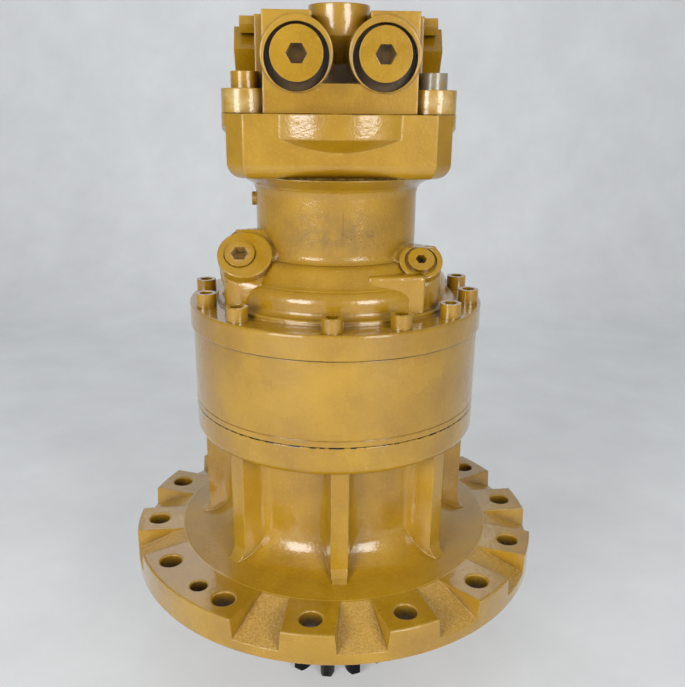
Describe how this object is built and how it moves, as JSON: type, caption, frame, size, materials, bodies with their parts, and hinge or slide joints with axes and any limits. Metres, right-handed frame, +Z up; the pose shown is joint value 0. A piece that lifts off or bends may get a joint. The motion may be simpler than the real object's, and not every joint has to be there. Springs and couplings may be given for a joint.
{
  "type": "excavator swing motor",
  "caption": "Axial piston hydraulic motor with parking brake and valve block on a two-stage planetary gearbox with a bolt flange and an output pinion.",
  "frame": {"origin": "centre of the mounting flange's lower face", "axes": "+Z up along the output axis to the valve block; -Y towards the front with the two large plugs; +X to the right seen from the front"},
  "size_m": [0.526, 0.526, 0.84],
  "materials": {
    "paint": "glossy machine yellow enamel over cast iron and steel",
    "steel": "ground and hardened bearing and gear steel",
    "dark_steel": "blackened case-hardened steel",
    "bare_iron": "machined nodular iron",
    "bronze": "machined bearing bronze and friction lining",
    "seal_rubber": "black nitrile rubber"
  },
  "bodies": {
    "housing": {"hub_housing": "paint", "ring_gear": "paint", "motor_housing": "paint", "cover_bolts": "paint", "static_o_rings": "seal_rubber", "seal_carrier": "bare_iron", "seal_carrier_ring": "steel", "output_oil_seal": "seal_rubber", "output_bearing_cups": "steel", "shaft_oil_seal": "seal_rubber", "shaft_bearing_cup": "steel", "end_bearing": "bronze", "swash_plate": "bare_iron", "piston_shoes": "bronze", "shoe_retainer": "steel", "retainer_guide": "bronze", "pistons": "steel", "cylinder_block": "bare_iron", "block_spring": "steel", "valve_plate": "bronze", "friction_plates": "bronze", "separator_plates": "steel", "brake_springs": "steel", "valve_block": "paint", "valve_block_bolts": "paint", "makeup_plugs": "paint", "relief_valves": "paint", "fill_plug": "paint", "vent_plug": "paint", "gauge_plugs": "paint"},
    "output": {"pinion_shaft": "dark_steel", "bearing_spacer": "steel", "bearing_lock_nut": "steel", "output_bearing_cones": "steel", "carrier_2": "steel", "planet_2_pins": "steel", "planet_2_needles": "steel"},
    "planet_2_a": {"planet_2_a": "steel"},
    "planet_2_b": {"planet_2_b": "steel"},
    "planet_2_c": {"planet_2_c": "steel"},
    "stage_1_carrier": {"carrier_1": "steel", "sun_gear_2": "steel", "planet_1_pins": "steel", "planet_1_needles": "steel"},
    "planet_1_a": {"planet_1_a": "steel"},
    "planet_1_b": {"planet_1_b": "steel"},
    "planet_1_c": {"planet_1_c": "steel"},
    "motor_shaft": {"motor_shaft": "steel", "sun_gear_1": "steel", "shaft_bearing_cone": "steel"},
    "lower_rollers": {"lower_bearing_rollers": "steel"},
    "upper_rollers": {"upper_bearing_rollers": "steel"},
    "shaft_rollers": {"shaft_bearing_rollers": "steel"},
    "brake_piston": {"brake_piston": "bare_iron"},
    "makeup_poppet_left": {"makeup_poppet_left": "steel", "makeup_spring_left": "steel"},
    "makeup_poppet_right": {"makeup_poppet_right": "steel", "makeup_spring_right": "steel"},
    "relief_poppet_left": {"relief_poppet_left": "steel"},
    "relief_poppet_right": {"relief_poppet_right": "steel"}
  },
  "joints": [
    {"name": "output_spin", "type": "hinge", "parent": "housing", "child": "output", "pos_m": [0, 0, 0], "axis": [0, 0, 1], "continuous": true},
    {"name": "planet_2_a_spin", "type": "hinge", "parent": "output", "child": "planet_2_a", "pos_m": [0.096, 0, 0.24], "axis": [0, 0, 1], "continuous": true},
    {"name": "planet_2_b_spin", "type": "hinge", "parent": "output", "child": "planet_2_b", "pos_m": [-0.048, 0.08314, 0.24], "axis": [0, 0, 1], "continuous": true},
    {"name": "planet_2_c_spin", "type": "hinge", "parent": "output", "child": "planet_2_c", "pos_m": [-0.048, -0.08314, 0.24], "axis": [0, 0, 1], "continuous": true},
    {"name": "stage_1_spin", "type": "hinge", "parent": "housing", "child": "stage_1_carrier", "pos_m": [0, 0, 0], "axis": [0, 0, 1], "continuous": true},
    {"name": "planet_1_a_spin", "type": "hinge", "parent": "stage_1_carrier", "child": "planet_1_a", "pos_m": [0.09, 0, 0.298], "axis": [0, 0, 1], "continuous": true},
    {"name": "planet_1_b_spin", "type": "hinge", "parent": "stage_1_carrier", "child": "planet_1_b", "pos_m": [-0.045, 0.07794, 0.298], "axis": [0, 0, 1], "continuous": true},
    {"name": "planet_1_c_spin", "type": "hinge", "parent": "stage_1_carrier", "child": "planet_1_c", "pos_m": [-0.045, -0.07794, 0.298], "axis": [0, 0, 1], "continuous": true},
    {"name": "motor_spin", "type": "hinge", "parent": "housing", "child": "motor_shaft", "pos_m": [0, 0, 0], "axis": [0, 0, 1], "continuous": true},
    {"name": "lower_rollers_spin", "type": "hinge", "parent": "housing", "child": "lower_rollers", "pos_m": [0, 0, 0], "axis": [0, 0, 1], "continuous": true},
    {"name": "upper_rollers_spin", "type": "hinge", "parent": "housing", "child": "upper_rollers", "pos_m": [0, 0, 0], "axis": [0, 0, 1], "continuous": true},
    {"name": "shaft_rollers_spin", "type": "hinge", "parent": "housing", "child": "shaft_rollers", "pos_m": [0, 0, 0], "axis": [0, 0, 1], "continuous": true},
    {"name": "brake_release", "type": "slide", "parent": "housing", "child": "brake_piston", "axis": [0, 0, 1], "range_m": [0, 0.0015], "stiffness_N_per_m": 400000, "springref_m": -0.003, "deforming": ["brake_springs"]},
    {"name": "makeup_left_open", "type": "slide", "parent": "housing", "child": "makeup_poppet_left", "axis": [0, -1, 0], "range_m": [0, 0.006], "stiffness_N_per_m": 600, "springref_m": -0.004},
    {"name": "makeup_right_open", "type": "slide", "parent": "housing", "child": "makeup_poppet_right", "axis": [0, -1, 0], "range_m": [0, 0.006], "stiffness_N_per_m": 600, "springref_m": -0.004},
    {"name": "relief_left_open", "type": "slide", "parent": "housing", "child": "relief_poppet_left", "axis": [-1, 0, 0], "range_m": [0, 0.003], "stiffness_N_per_m": 40000, "springref_m": -0.004},
    {"name": "relief_right_open", "type": "slide", "parent": "housing", "child": "relief_poppet_right", "axis": [1, 0, 0], "range_m": [0, 0.003], "stiffness_N_per_m": 40000, "springref_m": -0.004}
  ],
  "couplings": [
    {"joint": "planet_2_a_spin", "follows": "output_spin", "ratio": -3},
    {"joint": "planet_2_b_spin", "follows": "output_spin", "ratio": -3},
    {"joint": "planet_2_c_spin", "follows": "output_spin", "ratio": -3},
    {"joint": "stage_1_spin", "follows": "output_spin", "ratio": 4},
    {"joint": "planet_1_a_spin", "follows": "output_spin", "ratio": -10.667},
    {"joint": "planet_1_b_spin", "follows": "output_spin", "ratio": -10.667},
    {"joint": "planet_1_c_spin", "follows": "output_spin", "ratio": -10.667},
    {"joint": "motor_spin", "follows": "output_spin", "ratio": 20},
    {"joint": "lower_rollers_spin", "follows": "output_spin", "ratio": 0.43158},
    {"joint": "upper_rollers_spin", "follows": "output_spin", "ratio": 0.43492},
    {"joint": "shaft_rollers_spin", "follows": "output_spin", "ratio": 8.6002}
  ]
}
